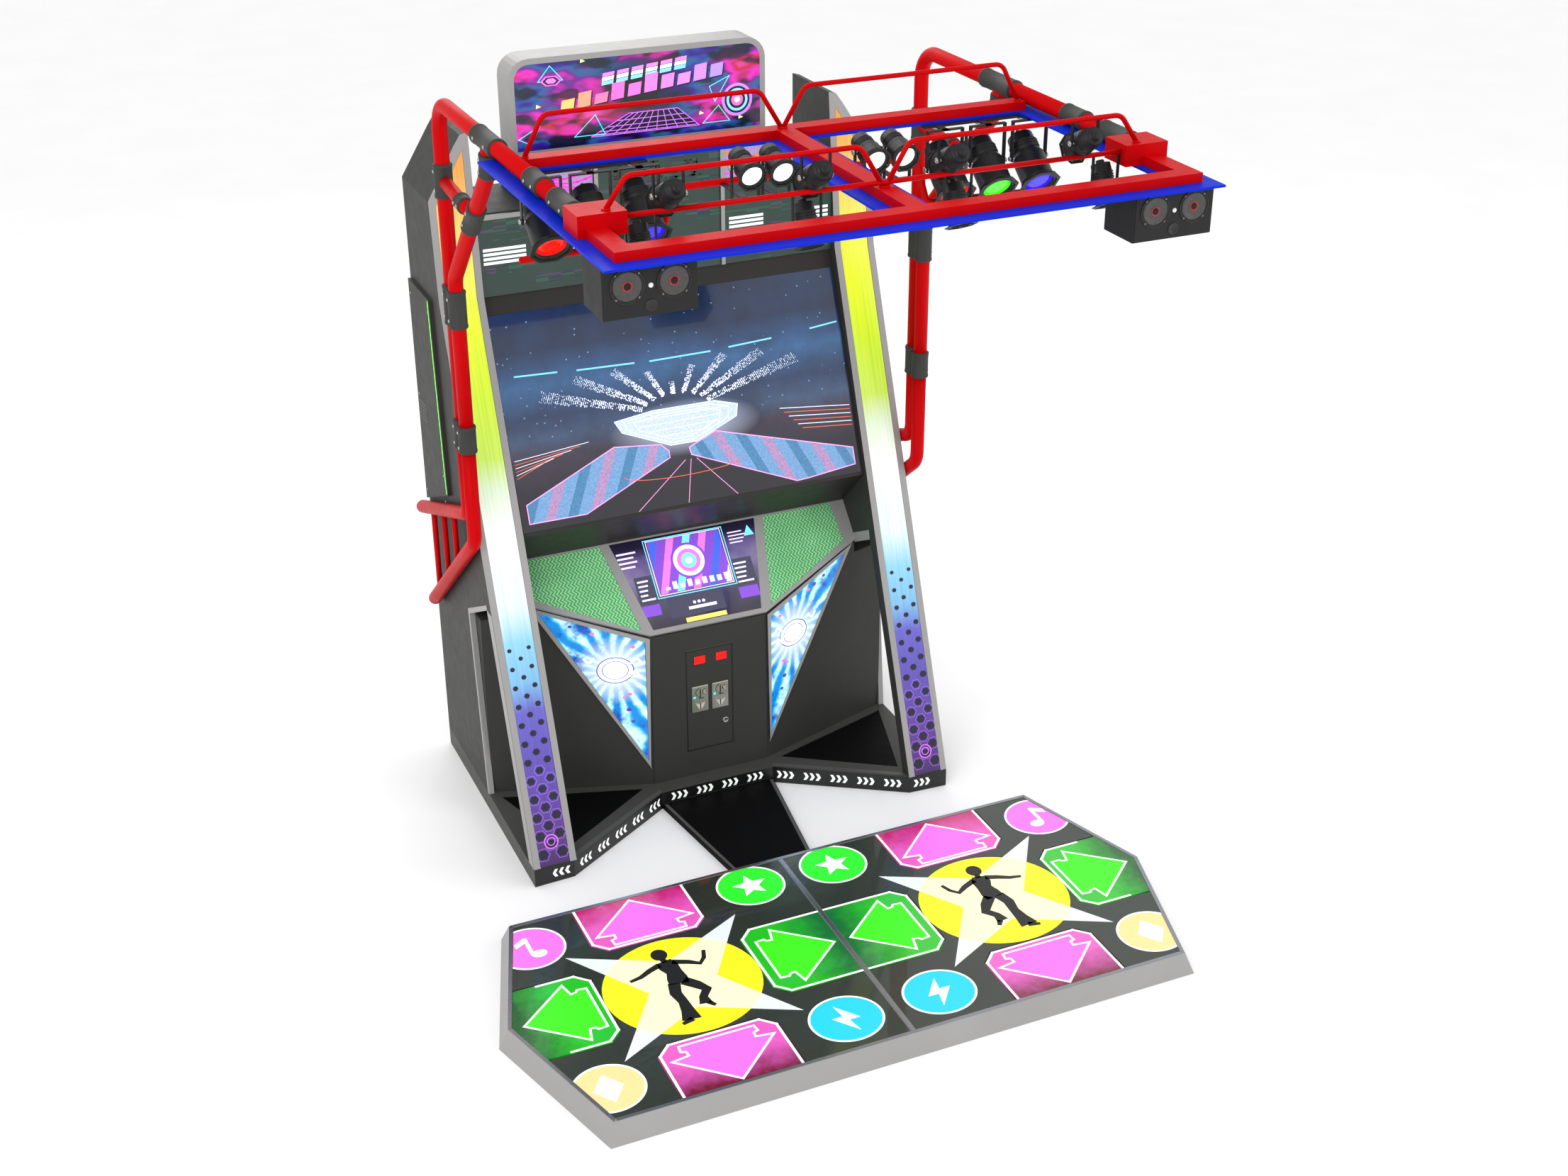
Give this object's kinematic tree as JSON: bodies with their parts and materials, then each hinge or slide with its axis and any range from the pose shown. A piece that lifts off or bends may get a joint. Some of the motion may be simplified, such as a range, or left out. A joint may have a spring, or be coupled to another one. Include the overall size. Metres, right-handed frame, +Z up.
{
  "type": "dance rhythm machine",
  "caption": "Free-standing arcade dance machine: screen cabinet with leaning light pillars, stage deck with pressable arrow tiles, and an overhead truss of stage lamps on side tube frames.",
  "frame": {"origin": "middle of the whole machine's footprint, on the floor", "axes": "+X to the right of a player facing the screen, +Y from the player to the screen and the back, +Z up"},
  "size_m": [2.1406, 2.208, 2.5256],
  "materials": {
    "plinth_black": "satin black powder coat",
    "cabinet_charcoal": "board faced in matt charcoal laminate",
    "strip_light": "printed translucent light diffuser",
    "display_glass": "glossy display glass",
    "surround_black": "matt moulded surround",
    "poster_print": "printed panel",
    "trim_grey": "satin grey paint",
    "marquee_art": "backlit printed acrylic",
    "grille_weave": "woven speaker cloth",
    "facet_art": "backlit printed acrylic",
    "bright_metal": "brushed steel",
    "button_red": "gloss moulded plastic",
    "inner_metal": "plain sheet case",
    "deck_grey": "satin grey powder coat",
    "deck_print": "printed scratch-resistant sheet",
    "tile_pink": "backlit printed sheet",
    "tile_green": "backlit printed sheet",
    "red_paint": "gloss red powder coat on alloy tube",
    "blue_paint": "satin blue powder coat on alloy sheet",
    "lamp_black": "satin black paint on spun alloy",
    "speaker_black": "black textured paint on board"
  },
  "bodies": {
    "machine": {"base_plinth": "plinth_black", "floor_duct": "plinth_black", "side_frame_left": "cabinet_charcoal", "side_frame_right": "cabinet_charcoal", "cabinet_core": "cabinet_charcoal", "coin_cabinet": "cabinet_charcoal", "light_strip_left": "strip_light", "light_strip_right": "strip_light", "main_screen": "display_glass", "touch_monitor": "display_glass", "screen_surround": "surround_black", "poster_panel": "poster_print", "marquee_box": "trim_grey", "control_fascia": "trim_grey", "marquee_face": "marquee_art", "grille_left": "grille_weave", "grille_right": "grille_weave", "facet_light_left": "facet_art", "facet_light_right": "facet_art", "cash_box": "inner_metal", "game_computer": "inner_metal", "power_supply": "inner_metal", "deck_tray": "deck_grey", "deck_sheet_left": "deck_print", "deck_sheet_right": "deck_print", "tube_frame_left": "red_paint", "tube_frame_right": "red_paint", "side_guard_left": "red_paint", "side_guard_right": "red_paint", "truss_frame": "red_paint", "front_hoop_rail": "red_paint", "rear_hoop_rail": "red_paint", "rear_lamp_bar": "red_paint", "fascia_plate": "blue_paint", "lamp_yokes_left": "lamp_black", "lamp_yokes_right": "lamp_black", "speaker_left": "speaker_black", "speaker_right": "speaker_black"},
    "arrow_tile_back_left": {"arrow_tile_back_left": "tile_pink"},
    "arrow_tile_front_left": {"arrow_tile_front_left": "tile_pink"},
    "arrow_tile_outer_left": {"arrow_tile_outer_left": "tile_green"},
    "arrow_tile_inner_left": {"arrow_tile_inner_left": "tile_green"},
    "arrow_tile_back_right": {"arrow_tile_back_right": "tile_pink"},
    "arrow_tile_front_right": {"arrow_tile_front_right": "tile_pink"},
    "arrow_tile_outer_right": {"arrow_tile_outer_right": "tile_green"},
    "arrow_tile_inner_right": {"arrow_tile_inner_right": "tile_green"},
    "coin_door": {"coin_door": "cabinet_charcoal", "coin_mech_left": "bright_metal", "coin_mech_right": "bright_metal"},
    "reject_button_left": {"reject_button_left": "button_red"},
    "reject_button_right": {"reject_button_right": "button_red"},
    "door_lock": {"door_lock": "bright_metal"},
    "rear_door": {"rear_door": "cabinet_charcoal"},
    "stage_lamp_left_inner": {"stage_lamp_left_inner": "lamp_black"},
    "stage_lamp_left_middle": {"stage_lamp_left_middle": "lamp_black"},
    "stage_lamp_left_outer": {"stage_lamp_left_outer": "lamp_black"},
    "stage_lamp_right_inner": {"stage_lamp_right_inner": "lamp_black"},
    "stage_lamp_right_middle": {"stage_lamp_right_middle": "lamp_black"},
    "stage_lamp_right_outer": {"stage_lamp_right_outer": "lamp_black"}
  },
  "joints": [
    {"name": "arrow_tile_back_left_press", "type": "slide", "parent": "machine", "child": "arrow_tile_back_left", "axis": [0, 0, -1], "range_m": [0, 0.003], "stiffness_N_per_m": 20000, "springref_m": -0.002},
    {"name": "arrow_tile_front_left_press", "type": "slide", "parent": "machine", "child": "arrow_tile_front_left", "axis": [0, 0, -1], "range_m": [0, 0.003], "stiffness_N_per_m": 20000, "springref_m": -0.002},
    {"name": "arrow_tile_outer_left_press", "type": "slide", "parent": "machine", "child": "arrow_tile_outer_left", "axis": [0, 0, -1], "range_m": [0, 0.003], "stiffness_N_per_m": 20000, "springref_m": -0.002},
    {"name": "arrow_tile_inner_left_press", "type": "slide", "parent": "machine", "child": "arrow_tile_inner_left", "axis": [0, 0, -1], "range_m": [0, 0.003], "stiffness_N_per_m": 20000, "springref_m": -0.002},
    {"name": "arrow_tile_back_right_press", "type": "slide", "parent": "machine", "child": "arrow_tile_back_right", "axis": [0, 0, -1], "range_m": [0, 0.003], "stiffness_N_per_m": 20000, "springref_m": -0.002},
    {"name": "arrow_tile_front_right_press", "type": "slide", "parent": "machine", "child": "arrow_tile_front_right", "axis": [0, 0, -1], "range_m": [0, 0.003], "stiffness_N_per_m": 20000, "springref_m": -0.002},
    {"name": "arrow_tile_outer_right_press", "type": "slide", "parent": "machine", "child": "arrow_tile_outer_right", "axis": [0, 0, -1], "range_m": [0, 0.003], "stiffness_N_per_m": 20000, "springref_m": -0.002},
    {"name": "arrow_tile_inner_right_press", "type": "slide", "parent": "machine", "child": "arrow_tile_inner_right", "axis": [0, 0, -1], "range_m": [0, 0.003], "stiffness_N_per_m": 20000, "springref_m": -0.002},
    {"name": "coin_door_hinge", "type": "hinge", "parent": "machine", "child": "coin_door", "pos_m": [-0.081, 0.4455, 0.351], "axis": [0, 0, -1], "range_deg": [0, 110]},
    {"name": "reject_button_left_push", "type": "slide", "parent": "coin_door", "child": "reject_button_left", "axis": [0, 1, 0], "range_m": [0, 0.005], "stiffness_N_per_m": 400, "springref_m": -0.002},
    {"name": "reject_button_right_push", "type": "slide", "parent": "coin_door", "child": "reject_button_right", "axis": [0, 1, 0], "range_m": [0, 0.005], "stiffness_N_per_m": 400, "springref_m": -0.002},
    {"name": "door_lock_turn", "type": "hinge", "parent": "coin_door", "child": "door_lock", "pos_m": [0.055, 0.4475, 0.253], "axis": [0, 1, 0], "range_deg": [0, 90]},
    {"name": "rear_door_hinge", "type": "hinge", "parent": "machine", "child": "rear_door", "pos_m": [-0.399, 1.088, 0.575], "axis": [0, 0, 1], "range_deg": [0, 110]},
    {"name": "stage_lamp_left_inner_tilt", "type": "hinge", "parent": "machine", "child": "stage_lamp_left_inner", "pos_m": [-0.441, -0.2465, 2.279], "axis": [-1, 0, 0], "range_deg": [-5, 35]},
    {"name": "stage_lamp_left_middle_tilt", "type": "hinge", "parent": "machine", "child": "stage_lamp_left_middle", "pos_m": [-0.5725, -0.2465, 2.279], "axis": [-1, 0, 0], "range_deg": [-5, 35]},
    {"name": "stage_lamp_left_outer_tilt", "type": "hinge", "parent": "machine", "child": "stage_lamp_left_outer", "pos_m": [-0.704, -0.2465, 2.279], "axis": [-1, 0, 0], "range_deg": [-5, 35]},
    {"name": "stage_lamp_right_inner_tilt", "type": "hinge", "parent": "machine", "child": "stage_lamp_right_inner", "pos_m": [0.441, -0.2465, 2.279], "axis": [-1, 0, 0], "range_deg": [-5, 35]},
    {"name": "stage_lamp_right_middle_tilt", "type": "hinge", "parent": "machine", "child": "stage_lamp_right_middle", "pos_m": [0.5725, -0.2465, 2.279], "axis": [-1, 0, 0], "range_deg": [-5, 35]},
    {"name": "stage_lamp_right_outer_tilt", "type": "hinge", "parent": "machine", "child": "stage_lamp_right_outer", "pos_m": [0.704, -0.2465, 2.279], "axis": [-1, 0, 0], "range_deg": [-5, 35]}
  ]
}
